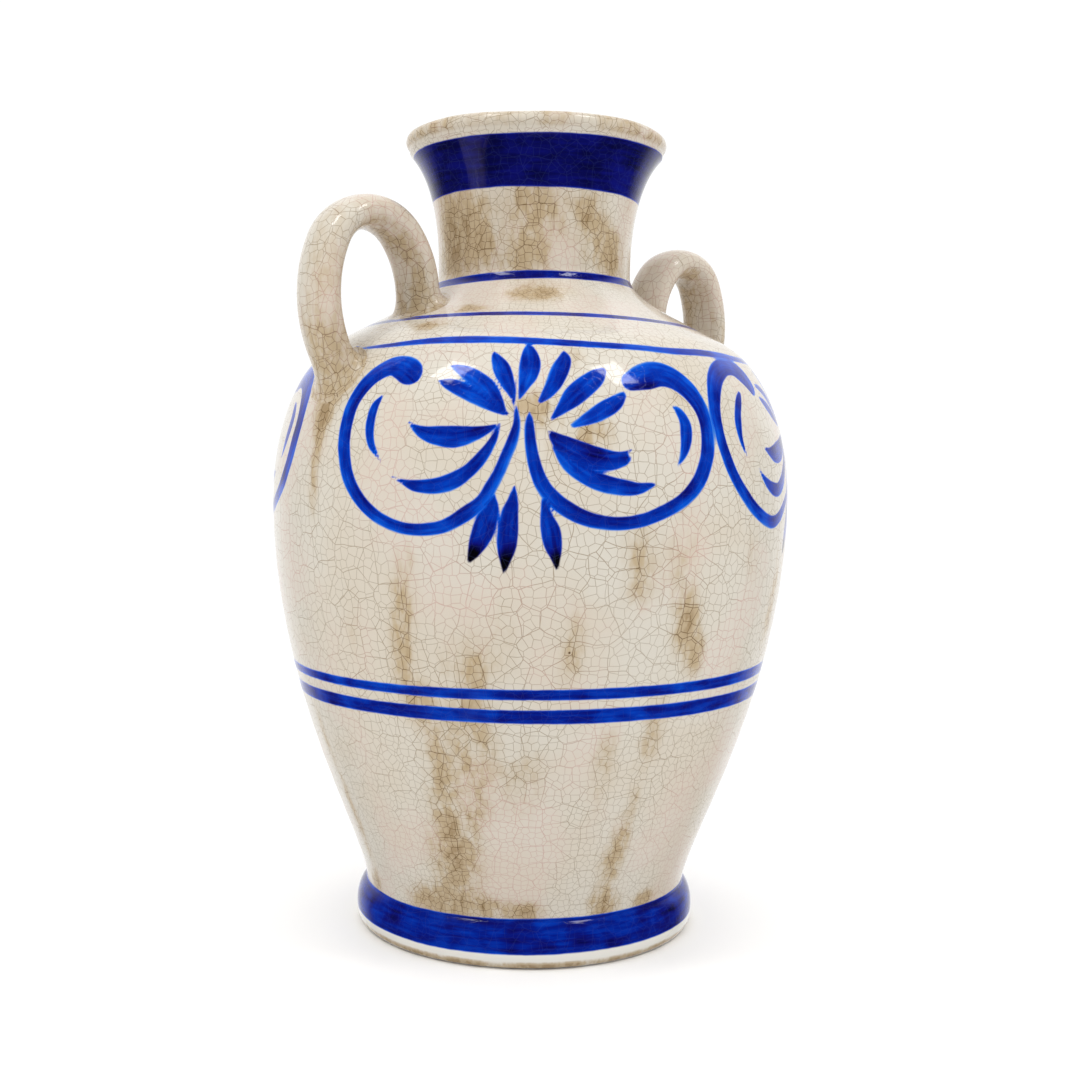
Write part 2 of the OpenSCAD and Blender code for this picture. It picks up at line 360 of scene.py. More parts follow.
# Each motif on the vase: its strokes, the azimuth of its middle, and how unlike the drawn one
# its strokes are, in millimetres
MOTIFS = [
    (MOTIF_A, FRONT, 0.0),
    (MOTIF_B, 43.9, 0.25),
    (MOTIF_A, 141.2, 0.7),
    (MOTIF_A, -136.4, 0.6),
]

# Painted bands: lower and upper edge, how far each edge rises across the vase to the viewer's
# right, as a slope, how far the band sags at the sides, the tone, and how much the edges wander
BANDS = [
    (5.4, 16.8, 0.0035, 0.012, 0.0, 0.60, 0.22),
    (88.8, 93.8, 0.007, 0.013, 0.0, 0.54, 0.22),
    (96.9, 100.6, 0.010, 0.014, 0.0, 0.50, 0.20),
    (221.0, 222.5, 0.006, 0.006, 3.4, 0.60, 0.16),
    (235.8, 238.9, 0.032, 0.032, 1.2, 0.70, 0.22),
    (267.2, 284.2, 0.007, 0.0175, 0.0, 0.78, 0.25),
]

# The hand-drawn band above the motifs, in two strokes from handle to handle
SHOULDER_BAND = [
    (-50, 55.5, 0.3), (-45, 54.5, 0.7), (-35, 55.4, 1.2), (-25, 56.8, 1.7), (-15, 57.2, 1.9),
    (-5, 57, 1.8), (5, 56.3, 1.7), (15, 55.6, 1.6), (25, 55.2, 1.5), (35, 54.5, 1.6),
    (45, 54.9, 1.7), (55, 54.6, 1.7), (65, 54, 1.5), (80, 54.6, 1.6), (95, 55.4, 1.5),
    (110, 55, 1.1), (122, 54.6, 0.6), (127, 54.4, 0.2),
]
BAND_STARTS = [FRONT, 141.2]
BAND_TONE = (0.42, 0.0, 0.0)


def smooth_stroke(points, steps=6):
    """A smooth line through a stroke's points, as rows of (x mm, y mm, half width)."""
    p = np.array(points, float) * (MM_PER_DEGREE, 1, 1)
    ends = np.concatenate([[2 * p[0] - p[1]], p, [2 * p[-1] - p[-2]]])
    rows = []
    for i in range(1, len(ends) - 2):
        a, b, c, d = ends[i - 1:i + 3]
        for t in np.arange(steps) / steps:
            rows.append(0.5 * (2 * b + (c - a) * t + (2 * a - 5 * b + 4 * c - d) * t ** 2
                               + (3 * b - a - 3 * c + d) * t ** 3))
    rows.append(p[-1])
    line = np.array(rows)
    line[:, 2] = np.maximum(line[:, 2], 0.3)
    return line


class Painting:
    """Distance to the nearest stroke's edge, tone and brush way at points of the surface."""

    def __init__(self, azimuth, z):
        self.azimuth = azimuth
        self.z = z
        self.arc = arc_at(z)
        self.edge = np.full(azimuth.shape, FAR_FROM_PAINT)
        self.tone = np.full(azimuth.shape, 0.5)
        self.brush = np.zeros(azimuth.shape + (3,))
        self.count = 0

    def lay(self, where, edge, tone, along, across):
        """Puts one stroke on. The nearer stroke gives tone and way, and close edges flow together."""
        before = self.edge[where]
        nearer = edge < before
        share = np.clip(0.5 + (before - edge) / (2 * FLOW), 0, 1)
        self.edge[where] = before + (edge - before) * share - FLOW * share * (1 - share)
        index = tuple(axis[nearer] for axis in where)
        self.tone[index] = tone[nearer]
        self.brush[index] = np.stack(
            [along[nearer], across[nearer], np.full(nearer.sum(), 37.0 * self.count)], axis=-1)

    def stroke(self, points, middle, tones):
        """Draws one stroke of a motif whose middle is at an azimuth."""
        line = smooth_stroke(points)
        self.count += 1
        x = ((self.azimuth - middle + 180) % 360 - 180) * MM_PER_DEGREE
        reach = FAR_FROM_PAINT + 5
        low, high = line[:, :2].min(0) - reach, line[:, :2].max(0) + reach
        where = np.nonzero((x > low[0]) & (x < high[0])
                           & (self.arc > low[1]) & (self.arc < high[1]))
        if not len(where[0]):
            return
        px, py = x[where], self.arc[where]
        best = np.full(px.shape, np.inf)
        along, across, half = np.zeros((3,) + px.shape)
        lengths = np.linalg.norm(np.diff(line[:, :2], axis=0), axis=1)
        travelled = np.concatenate([[0], np.cumsum(lengths)])
        for i, length in enumerate(lengths):
            if length < 1e-6:
                continue
            (ax, ay, aw), (bx, by, bw) = line[i], line[i + 1]
            dx, dy = (bx - ax) / length, (by - ay) / length
            t = np.clip((px - ax) * dx + (py - ay) * dy, 0, length)
            gap = np.hypot(px - ax - t * dx, py - ay - t * dy)
            width = aw + (bw - aw) * t / length
            nearer = gap - width < best
            best = np.where(nearer, gap - width, best)
            along = np.where(nearer, travelled[i] + t, along)
            side = (px - ax) * -dy + (py - ay) * dx
            across = np.where(nearer, side, across)
            half = np.where(nearer, width, half)
        base, side_tone, end_tone = tones
        share = along / travelled[-1]
        near_end = np.clip((share - 0.6) / 0.34, 0, 1)
        tone = (base + side_tone * np.clip(across / np.maximum(half, 0.6), -1, 1)
                + end_tone * near_end ** 2 * (3 - 2 * near_end))
        self.lay(where, best, tone, along, across)

    def band(self, low, high, low_slope, high_slope, sag, tone, wander):
        """A band all round, whose two edges are tilted and wander a little."""
        self.count += 1
        a = np.radians(self.azimuth)
        turned = np.sin(a - math.radians(FRONT))
        sideways = radius_at(self.z) * turned
        phase = self.count * 1.7
        drift = [wander * (0.5 * np.sin(2 * a + phase + k) + 0.3 * np.sin(5 * a + 2 * phase + k)
                           + 0.2 * np.sin(11 * a + 3 * phase + 2 * k)) - sag * turned ** 2
                 for k in (0.0, 1.3)]
        bottom = arc_at(low + low_slope * sideways) + drift[0]
        top = arc_at(high + high_slope * sideways) + drift[1]
        edge = np.maximum(bottom - self.arc, self.arc - top)
        everywhere = np.nonzero(edge < FAR_FROM_PAINT)
        along = radius_at(self.z) * a
        across = self.arc - (bottom + top) / 2
        self.lay(everywhere, edge[everywhere], np.full(edge.shape, tone)[everywhere],
                 along[everywhere], across[everywhere])

    def paint_all(self):
        """Lays on every band and stroke, each motif drawn a little differently."""
        rng = np.random.default_rng(SEED)
        for band in BANDS:
            self.band(*band)
        for start in BAND_STARTS:
            self.stroke(SHOULDER_BAND, start, BAND_TONE)
        for strokes, middle, unlike in MOTIFS:
            for points, tones in strokes:
                p = np.array(points, float)
                shift = rng.normal(0, 1, 2) * unlike / (MM_PER_DEGREE, 1)
                p[:, :2] += np.clip(shift, -1, 1)
                p[:, 2] *= 1 + 0.08 * unlike * np.clip(rng.normal(), -1.5, 1.5)
                self.stroke(p, middle, tones)


# ---- brown stains soaked in the glaze

# Each stain: azimuth, middle height along the surface, half width, half height and strength
STAINS = [
    # the lower body, left to right, and round the back
    (-101, -84, 3, 14, 0.5), (-99, -118, 3.5, 20, 0.6), (-102, -145, 5, 5, 0.7),
    (-78, -40, 5, 24, 0.25), (-64, -22, 4.6, 9, 0.8), (-64.6, -45, 5, 16, 0.95),
    (-64, -66, 8, 10, 0.4), (-50.5, -48, 4.6, 13, 0.7), (-54, -70, 9.5, 17, 1),
    (-56.5, -98, 9.5, 20, 0.95), (-60, -126, 8.5, 18, 0.85), (-66, -144, 16, 6.5, 1),
    (-52, -145, 7, 4.5, 0.8), (-44.5, -42, 6, 12, 0.3), (-40, -88, 9, 19, 0.4),
    (-38.5, -145, 6, 4, 0.95), (-30, -44, 4.2, 15, 0.55), (-20.5, -88, 4.6, 22, 0.45),
    (-17.5, -18, 6, 15, 0.65), (-7.5, -18, 7, 20, 0.4), (-5, -38, 5, 9, 0.95),
    (-1.5, -49, 4.4, 8, 0.7), (-9.5, -74, 5, 15, 0.5), (-10.5, -107, 3.8, 15, 0.95),
    (-12.5, -128, 4.6, 14, 0.8), (-12, -144, 6, 5, 1), (6, -145, 7, 4, 0.8), (13, -16, 5, 16, 0.3),
    (28, -35, 5, 20, 0.7), (52, -70, 6, 30, 0.8), (110, -30, 5, 30, 0.7), (135, -90, 8, 30, 0.9),
    (160, -20, 5, 22, 0.7), (-165, -60, 7, 30, 0.8), (-120, -20, 5, 24, 0.6),
    (-122, -95, 6, 28, 0.7), (60, -142, 16, 5, 0.9), (150, -142, 14, 6, 0.9),
    (-140, -143, 12, 5, 0.8),
    # between the strokes and under the handles
    (-38, 31, 8.5, 6.5, 0.95), (-27.5, 23, 8, 7, 0.95), (-33, 18, 5, 6, 0.5), (-30, 50, 5, 6, 0.4),
    (-7, 36, 7, 7, 0.25), (-88.3, 31, 6.5, 9, 1), (-88.3, 14, 3, 18, 0.75), (-86, 44, 12, 8, 0.6),
    (-64, 22, 8, 8, 0.2), (92, 28, 7, 14, 0.9), (70, 20, 6, 20, 0.4), (39, 56, 10, 6, 0.5),
    (-145, 30, 10, 8, 0.7), (150, 28, 10, 8, 0.7),
    # the shoulder and the neck
    (-68, 68, 10, 5, 0.9), (-64, 81, 9, 4.5, 0.8), (-37, 94, 11, 5.5, 1), (-88, 74, 8, 12, 0.7),
    (88, 74, 8, 12, 0.7), (23, 105, 5, 7, 0.5), (-94, 120, 9, 18, 0.8), (-74, 124, 6, 12, 0.6),
    (-44, 130, 9, 7, 0.9), (-52, 114, 11, 9, 0.9), (-9, 123, 6, 11, 0.85), (13, 114, 6, 9, 0.85),
    (60, 120, 8, 14, 0.9), (130, 112, 9, 12, 0.8), (-150, 122, 9, 12, 0.9),
]


def stains_at(azimuth, z):
    """How strongly the glaze is stained, from 0 to 1, before the material breaks it up."""
    arc, total = arc_at(z), np.zeros(azimuth.shape)
    for middle, level, half_width, half_height, strength in STAINS:
        x = ((azimuth - middle + 180) % 360 - 180) * math.radians(1) * radius_at(z)
        total += strength * np.exp(-(x / half_width) ** 2 - ((arc - level) / half_height) ** 2)
    neck = np.exp(-((z - 252) / 17) ** 4)
    worn = np.clip((3.2 - z) / 1.6, 0, 1)
    lip = np.clip((z - 285) / 2, 0, 1)
    return np.clip(total + 0.26 * neck + 1.2 * worn + 0.5 * lip, 0, 1.2)


# ---- mesh making


def new_mesh(name, points, faces, normals, uvs, net, layers):
    """A mesh piece with smooth faces, given vertex normals, its own UV map and attributes."""
    mesh = bpy.data.meshes.new(name)
    mesh.from_pydata((points * MM).tolist(), [], faces)
    mesh.polygons.foreach_set("use_smooth", np.ones(len(mesh.polygons), bool))
    mesh.uv_layers.new(name="OFBake").data.foreach_set("uv", uvs.ravel().astype(np.float32))
    for layer, values in layers.items():
        kind, key = ("FLOAT", "value") if values.ndim == 1 else ("FLOAT_VECTOR", "vector")
        attribute = mesh.attributes.new(layer, kind, "POINT")
        attribute.data.foreach_set(key, values.ravel().astype(np.float32))
    corners = mesh.attributes.new("net", "FLOAT_VECTOR", "CORNER")
    corners.data.foreach_set("vector", net.ravel().astype(np.float32))
    mesh.update()
    mesh.normals_split_custom_set_from_vertices(normals.tolist())
    piece = bpy.data.objects.new(name, mesh)
    bpy.context.scene.collection.objects.link(piece)
    return piece


def grid_normals(grid, wrap_rows):
    """Normals of a grid of points [row, column, xyz] that closes round its columns."""
    across = np.roll(grid, -1, axis=1) - np.roll(grid, 1, axis=1)
    if wrap_rows:
        up = np.roll(grid, -1, axis=0) - np.roll(grid, 1, axis=0)
    else:
        up = np.gradient(grid, axis=0)
    n = np.cross(across, up)
    return n / np.maximum(np.linalg.norm(n, axis=-1, keepdims=True), 1e-9)


# Bake map: the outer surface in two panels, one over the other, and the inner in a strip on top
PANEL_HEIGHT = 0.455
PANEL_STEP = 0.47
STRIP_LOW = 0.945
MARGIN = 0.006
TINY_FACE = np.array([(0.0, 0.0), (0.004, 0.0), (0.0, 0.004)])

# The plain white strip on the foot, under the cobalt
STRIP_TOP = 6.2

# Columns start under the right handle, and the crackle's map is cut there
FIRST_AZIMUTH = -270.0

# How far the inside is darkened towards brown, the same all over, with nothing running down it
INSIDE_DARKENING = 0.25


def quad_corners(low, high, left, right):
    """Corner pairs (across, up) of quads from their rows' and columns' numbers."""
    across = np.stack([left, right, right, left], axis=-1)
    up = np.stack([low, low, high, high], axis=-1)
    across, up = np.broadcast_arrays(across, up)
    return np.stack([across, up], axis=-1)


def grid_quads(rows, columns, closed):
    """Quads of a grid that closes round its columns, and over its rows too if it is closed."""
    i, j = np.meshgrid(np.arange(rows if closed else rows - 1), np.arange(columns), indexing="ij")
    right, above = (j + 1) % columns, (i + 1) % rows
    return np.stack([i * columns + j, i * columns + right,
                     above * columns + right, above * columns + j], axis=-1)


def fans(rows, columns, places, turned=False):
    """Faces from a grid's two end rows to the two points after it, and their places to bake."""
    low, high, top = rows * columns, rows * columns + 1, (rows - 1) * columns
    faces, uvs = [], []
    for k in range(columns):
        following = (k + 1) % columns
        ends = [low, following, k], [high, top + k, top + following]
        for face, corner in zip(ends, places):
            faces.append(face[::-1] if turned else face)
            uvs.append(TINY_FACE + corner)
    return faces, uvs


def bare_layers(stain_and_shade):
    """Attributes of points that carry no paint."""
    size = len(stain_and_shade)
    return {
        "paint": np.full(size, FAR_FROM_PAINT),
        "tone": np.full(size, 0.5),
        "brush": np.zeros((size, 3)),
        "stain_and_shade": stain_and_shade,
        "plain": np.zeros(size),
    }


def panel_uvs(outer_rows, columns, lengths):
    """Corner UVs for the quads of a shell, in the order of its faces."""
    half = columns // 2
    travelled = np.concatenate([[0], np.cumsum(lengths)])
    first, last = np.nonzero(outer_rows)[0][[0, -1]]
    outer_length = travelled[last] - travelled[first]
    inner_length = travelled[-1] - outer_length
    column = np.arange(columns)
    uvs = []
    for i, length in enumerate(lengths):
        start = travelled[i]
        if outer_rows[i] and outer_rows[(i + 1) % len(outer_rows)]:
            shares = (np.array([start, start + length]) - travelled[first]) / outer_length
            low, high = (MARGIN + column // half * PANEL_STEP + share * PANEL_HEIGHT
                         for share in shares)
            left = (column % half) / half
            right = left + 1 / half
        else:
            spent = start - outer_length if start >= travelled[last] else start
            low, high = (np.full(columns, STRIP_LOW + s / inner_length * (1 - STRIP_LOW - MARGIN))
                         for s in (spent, spent + length))
            left = column / columns
            right = left + 1 / columns
        left, right = (MARGIN + u * (1 - 2 * MARGIN) for u in (left, right))
        uvs.append(quad_corners(low, high, left, right))
    return np.concatenate(uvs).reshape(-1, 2)


def net_corners(ring, lengths, first_outer, columns, scale):
    """Where each corner lies on the map that the crackle is drawn on, in millimetres."""
    following = np.roll(ring[:, 0], -1)[:len(lengths)]
    mean_r = np.maximum((ring[:len(lengths), 0] + following) / 2, 12)
    y = np.concatenate([[0], np.cumsum(lengths / mean_r)]) * scale
    y += scale * np.interp(ring[first_outer, 1], OUTLINE[:, 1], MAP_HEIGHT) - y[first_outer]
    x = np.radians(FIRST_AZIMUTH + np.arange(columns + 1) * 360.0 / columns) * scale
    flat = quad_corners(y[:-1, None], y[1:, None], x[None, :-1], x[None, 1:])
    return np.concatenate([flat, np.zeros(flat.shape[:-1] + (1,))], axis=-1).reshape(-1, 3)


def shell(name, profile, outer_rows, columns, net_scale, lift=None):
    """A closed turned shell from a profile that goes up outside and comes down inside.

    A profile that starts and ends on the axis is closed there by fans."""
    poles = profile[[0, -1]]
    closed = poles[0, 0] > 1e-6
    ring = profile if closed else profile[1:-1]
    outer_rows = outer_rows if closed else outer_rows[1:-1]
    rows = len(ring)
    azimuth = np.tile(FIRST_AZIMUTH + np.arange(columns) * 360.0 / columns, (rows, 1))
    r, z = (np.repeat(ring[:, k:k + 1], columns, axis=1) for k in (0, 1))
    grid = place(azimuth, r, z)
    if lift is not None:
        grid = lift(grid, azimuth)

    # Where two sections meet, both take the outline's own normals, so that no seam shows
    ends = np.nonzero(outer_rows)[0][[0, -1]]
    n = outward_at(np.clip(z, OUTLINE[0, 1] + 0.5, MOUTH_Z - 0.5))[ends]
    on_body = ((z > FOOT_H - 0.1) & (z < MOUTH_Z + 0.1))[ends]
    normals = grid_normals(grid, closed)
    normals[ends] = np.where(on_body[..., None], spun(azimuth[ends], n[..., 0], n[..., 1]),
                             normals[ends])

    lengths = np.linalg.norm(np.roll(ring, -1, axis=0) - ring, axis=1)
    lengths = lengths if closed else lengths[:-1]
    uvs = panel_uvs(outer_rows, columns, lengths)
    net = net_corners(ring, lengths, ends[0], columns, net_scale)
    faces = grid_quads(rows, columns, closed).reshape(-1, 4).tolist()
    points, normals = grid.reshape(-1, 3), normals.reshape(-1, 3)

    painting = Painting(azimuth, z)
    painting.paint_all()
    painting.edge[~outer_rows] = FAR_FROM_PAINT
    outside = outer_rows[:, None]
    layers = {
        "paint": painting.edge.ravel(),
        "tone": painting.tone.ravel(),
        "brush": painting.brush.reshape(-1, 3),
        "stain_and_shade": np.where(outside, stains_at(azimuth, z), INSIDE_DARKENING).ravel(),
        "plain": (outside * np.clip((STRIP_TOP - z) / 0.8, 0, 1)).ravel(),
    }
    if not closed:
        fan_faces, fan_uvs = fans(rows, columns, [(0.0, 0.932), (0.99, 0.932)])
        faces += fan_faces
        uvs = np.concatenate([uvs] + fan_uvs)
        net = np.concatenate([net, np.zeros((3 * len(fan_faces), 3))])
        points = np.concatenate([points, [(0, 0, pole[1]) for pole in poles]])
        normals = np.concatenate([normals, [(0, 0, -1), (0, 0, 1)]])
        at_poles = bare_layers(np.full(2, INSIDE_DARKENING))
        layers = {key: np.concatenate([layers[key], at_poles[key]]) for key in layers}
    return new_mesh(name, points, faces, normals, uvs, net, layers)


def outer_between(low, high, spacing):
    """Rows of the outer surface between two heights, evenly spaced along it."""
    start, end = arc_at(low), arc_at(high)
    z = height_at(np.linspace(start, end, max(2, round((end - start) / spacing) + 1)))
    z[0], z[-1] = low, high
    return np.stack([radius_at(z), z], axis=-1)


def inner_between(low, high, spacing):
    """Rows of the inner surface from one height down to another, a wall inside the outer."""
    z = outer_between(low, high, spacing)[:, 1]
    thick = WALL + (MOUTH_WALL - WALL) * np.clip((z - WAIST[1]) / (MOUTH_Z - WAIST[1]), 0, 1)
    n = outward_at(np.clip(z, FOOT_H + 0.5, MOUTH_Z - 0.5))
    inner = np.stack([radius_at(z) - thick * n[:, 0], z - thick * n[:, 1]], axis=-1)
    inner[0, 1], inner[-1, 1] = low, high
    return inner[::-1]


def join(*parts):
    """One profile from parts, each with a flag that says if it is outside, and its rows' flags."""
    rows = np.concatenate([np.atleast_2d(part) for part, _ in parts])
    flags = np.concatenate([np.full(len(np.atleast_2d(part)), outer) for part, outer in parts])
    return rows, flags


# ---- the sections

FINE_COLUMNS = 576
COLUMNS = 256


def make_foot():
    widest = (FOOT_R, 0.4 * FOOT_H)
    side = np.concatenate([
        bezier((FOOT_BASE_R, 0), (FOOT_BASE_R + 1.8, 0), (FOOT_R, 0.15 * FOOT_H), widest, 20),
        bezier(widest, (FOOT_R, 0.7 * FOOT_H), (NOTCH_R + 2, 0.86 * FOOT_H),
               (NOTCH_R, FOOT_H), 20)[1:],
    ])
    bore = [(FOOT_BORE_R, FOOT_H), (FOOT_BORE_R, RECESS_Z), (FOOT_BORE_R, 1.2),
            (FOOT_BORE_R + 0.4, 0.3), (FOOT_BORE_R + 1.2, 0)]
    return shell("glazed_foot", *join((side, True), (bore, False)), COLUMNS, 60)


def make_lower_body():
    bottom = [(0, RECESS_Z), (FOOT_BORE_R - 12, RECESS_Z), (FOOT_BORE_R - 0.02, RECESS_Z),
              (FOOT_BORE_R - 0.02, FOOT_H)]
    outer = outer_between(FOOT_H, SEAM_Z, 1.1)
    corner_z = FOOT_H + 14
    inner = inner_between(corner_z, SEAM_Z + BEVEL, 6.0)
    corner = bezier((FOOT_BORE_R - 20, FLOOR_Z), (FOOT_BORE_R - 10, FLOOR_Z),
                    (FOOT_BORE_R, FOOT_H + 4), inner[-1], 10)[::-1][1:]
    profile = join((bottom, False), (outer, True), (inner, False), (corner, False),
                   ([(0, FLOOR_Z)], False))
    return shell("lower_thrown_section", *profile, FINE_COLUMNS, 84)


def make_upper_body():
    profile = join((outer_between(SEAM_Z, NECK_SEAM_Z, 1.1), True),
                   (inner_between(SEAM_Z + BEVEL, NECK_SEAM_Z + BEVEL, 10.0), False))
    return shell("upper_thrown_section", *profile, FINE_COLUMNS, 84)


def make_neck():
    profile = join((outer_between(NECK_SEAM_Z, MOUTH_Z, 0.8), True),
                   (inner_between(NECK_SEAM_Z + BEVEL, MOUTH_Z, 2.0), False))
    return shell("flared_neck", *profile, COLUMNS, 42)


def make_lip():
    inner_edge = inner_between(NECK_SEAM_Z + BEVEL, MOUTH_Z, 2.0)[0, 0]
    half_edge = (MOUTH_R - inner_edge) / 2
    centre_r = MOUTH_R - half_edge
    lip_r = LIP_REACH - centre_r
    centre_z = LIP_TOP - lip_r
    seat = math.degrees(math.asin(half_edge / lip_r))
    turns = np.radians(np.linspace(180 - seat, seat - 180, 56))
    bead = np.stack([centre_r + lip_r * np.sin(turns), centre_z + lip_r * np.cos(turns)], axis=-1)
    bead[0, 1] = bead[-1, 1] = MOUTH_Z

    def uneven_rim(grid, azimuth):
        a = np.radians(azimuth)
        rise = np.clip((grid[..., 2] - MOUTH_Z) / (LIP_TOP - MOUTH_Z), 0, 1)
        wave = 0.22 * np.sin(2 * a + 0.4) + 0.12 * np.sin(5 * a + 2) + 0.07 * np.sin(9 * a)
        grid[..., 2] += rise * (wave - 0.15)
        return grid

    return shell("rolled_lip", *join((bead, True)), COLUMNS, 50, lift=uneven_rim)


# ---- the handles

STRAP_HALF_WIDTH = 10.2
STRAP_HALF_THICKNESS = 5.9
STRAP_PERIMETER = 52.0
INNER_TURN, OUTER_TURN = 141.7, 23.1
INNER_LEG_R, OUTER_LEG_R = 33.9, 46.1
ROW_SPACING = 0.8
AROUND = 96

# The fillet at a root: how far it goes up the strap and out on the body, and how full it is
FILLET_UP = 6.5
FILLET_OUT = 4.6
FILLET_PULL = 0.62

# How far down from the strap the body is looked for, and how often that way is halved
SEARCH_DEPTH = 40.0
HALVINGS = 40

# The lowest level of a root, below which the handle is darkest, and how far up the darkening reaches
ROOT_Z = 199
ROOT_REACH = 45


def arc_points(centre, r, start, end):
    """Points of an arc from one angle to another."""
    count = max(4, int(abs(math.radians(end - start)) * r / ROW_SPACING))
    a = np.radians(np.linspace(start, end, count))
    return np.stack([centre[0] + r * np.cos(a), centre[1] + r * np.sin(a)], axis=-1)


def centre_line(arch, arch_r):
    """Middle of the strap as (distance from the axis, height), from inner root to outer root."""
    inner_dir, outer_dir = (np.array([math.cos(a), math.sin(a)])
                            for a in map(math.radians, (INNER_TURN, OUTER_TURN)))
    inner_centre = arch + (arch_r - INNER_LEG_R) * inner_dir
    outer_centre = arch + (arch_r - OUTER_LEG_R) * outer_dir
    inner = arc_points(inner_centre, INNER_LEG_R, INNER_TURN + 80, INNER_TURN)
    over = arc_points(arch, arch_r, INNER_TURN, OUTER_TURN)
    outer = arc_points(outer_centre, OUTER_LEG_R, OUTER_TURN, OUTER_TURN - 70)
    line = np.concatenate([inner[:-1], over, outer[1:]])
    shoulder = OUTLINE[OUTLINE[:, 1] > BELLY_Z]
    above = line[:, 1] > np.interp(-line[:, 0], -shoulder[:, 0], shoulder[:, 1])
    keep = np.nonzero(above)[0]
    line = line[keep[0] - 1:keep[-1] + 2]
    travelled = np.concatenate([[0], np.cumsum(np.linalg.norm(np.diff(line, axis=0), axis=1))])
    even = np.linspace(0, travelled[-1], int(travelled[-1] / ROW_SPACING))
    return np.stack([np.interp(even, travelled, line[:, k]) for k in (0, 1)], axis=-1)


def body_foot(points):
    """Nearest points of the uneven body surface, and its normals there."""
    azimuth = np.degrees(np.arctan2(points[..., 0], -points[..., 1]))
    r = np.hypot(points[..., 0], points[..., 1]) - unevenness(azimuth, points[..., 2])
    flat = np.stack([r, points[..., 2]], axis=-1).reshape(-1, 1, 2)
    rows = OUTLINE[(OUTLINE[:, 1] > BELLY_Z - 15) & (OUTLINE[:, 1] < WAIST[1])]
    nearest = np.argmin(np.linalg.norm(flat - rows[None], axis=-1), axis=1)
    on_line = rows[nearest]
    tangent = rows[np.minimum(nearest + 1, len(rows) - 1)] - rows[np.maximum(nearest - 1, 0)]
    tangent /= np.linalg.norm(tangent, axis=-1, keepdims=True)
    on_line = on_line + tangent * np.sum((flat[:, 0] - on_line) * tangent, axis=-1, keepdims=True)
    on_line, tangent = (x.reshape(points.shape[:-1] + (2,)) for x in (on_line, tangent))
    return (place(azimuth, on_line[..., 0], on_line[..., 1]),
            spun(azimuth, tangent[..., 1], -tangent[..., 0]))


def clearance(points):
    """How far points stand off the body."""
    foot, normal = body_foot(points)
    return np.sum((points - foot) * normal, axis=-1)


def fillet(middle, grid, theta, side, order):
    """Rows from the strap's full section down onto the body, for one end of the line.

    The first of them joins the strap at the row that is returned with them."""
    up_steps = np.cumsum(np.linalg.norm(np.diff(middle[order], axis=0), axis=1))
    lift_row = order[1 + int(np.searchsorted(up_steps, FILLET_UP + 1.5))]
    ring = grid[lift_row]
    tangent = np.gradient(middle, axis=0)[lift_row]
    down = tangent / np.linalg.norm(tangent) * (-1 if order[0] < order[-1] else 1)
    low, high = np.zeros(AROUND), np.full(AROUND, SEARCH_DEPTH)
    for _ in range(HALVINGS):
        mid = (low + high) / 2
        outside = clearance(ring + down * mid[:, None]) > 0
        low, high = np.where(outside, mid, low), np.where(outside, high, mid)
    landed = ring + down * low[:, None]
    centre = landed.mean(axis=0)
    away = landed - centre
    _, normal = body_foot(landed)
    away -= normal * np.sum(away * normal, axis=-1, keepdims=True)
    away /= np.linalg.norm(away, axis=-1, keepdims=True)
    spread = (FILLET_OUT * (1 + 0.12 * np.sin(2 * theta + 0.7 + side)))[:, None]
    end, end_normal = body_foot(landed + away * spread)
    reach = np.minimum(low, FILLET_UP * 1.3)[:, None]
    start = landed - down * reach
    curve = bezier(start, start + down * FILLET_PULL * reach,
                   end - away * FILLET_PULL * spread, end, 20)
    lead = [ring + down * ((low[:, None] - reach) * share) for share in np.linspace(0, 1, 10)[1:-1]]
    skirt = [end + away * 0.9 - end_normal * 0.12, end + away * 1.2 - end_normal * 1.6,
             centre + (end - centre) * 0.6 - end_normal * 3.0]
    return lift_row, np.concatenate([lead, curve, skirt])


def strap_rows(side, arch, arch_r):
    """Rows of points round a handle from root to root, and how many are in its two fillets."""
    line = centre_line(np.array(arch), arch_r)
    tangent = np.gradient(line, axis=0)
    tangent /= np.linalg.norm(tangent, axis=1, keepdims=True)
    theta = np.linspace(-math.pi / 2, 1.5 * math.pi, AROUND, endpoint=False)
    wave = 1 + 0.02 * np.sin(3 * np.linspace(0, 2 * math.pi, len(line)) + side)
    across = (STRAP_HALF_WIDTH * wave)[:, None] * np.cos(theta)
    up = (STRAP_HALF_THICKNESS * (2 - wave))[:, None] * (
        np.sign(np.sin(theta)) * np.abs(np.sin(theta)) ** 0.92)
    grid = np.stack([side * (line[:, :1] - up * tangent[:, 1:]), -side * across,
                     line[:, 1:] + up * tangent[:, :1]], axis=-1)
    middle = np.stack([side * line[:, 0], 0 * line[:, 0], line[:, 1]], axis=-1)
    order = np.arange(len(line))
    first_row, first = fillet(middle, grid, theta, side, order)
    last_row, last = fillet(middle, grid, theta, side, order[::-1])
    rows = np.concatenate([first[::-1], grid[first_row:last_row + 1], last])
    return rows, len(first), len(last)


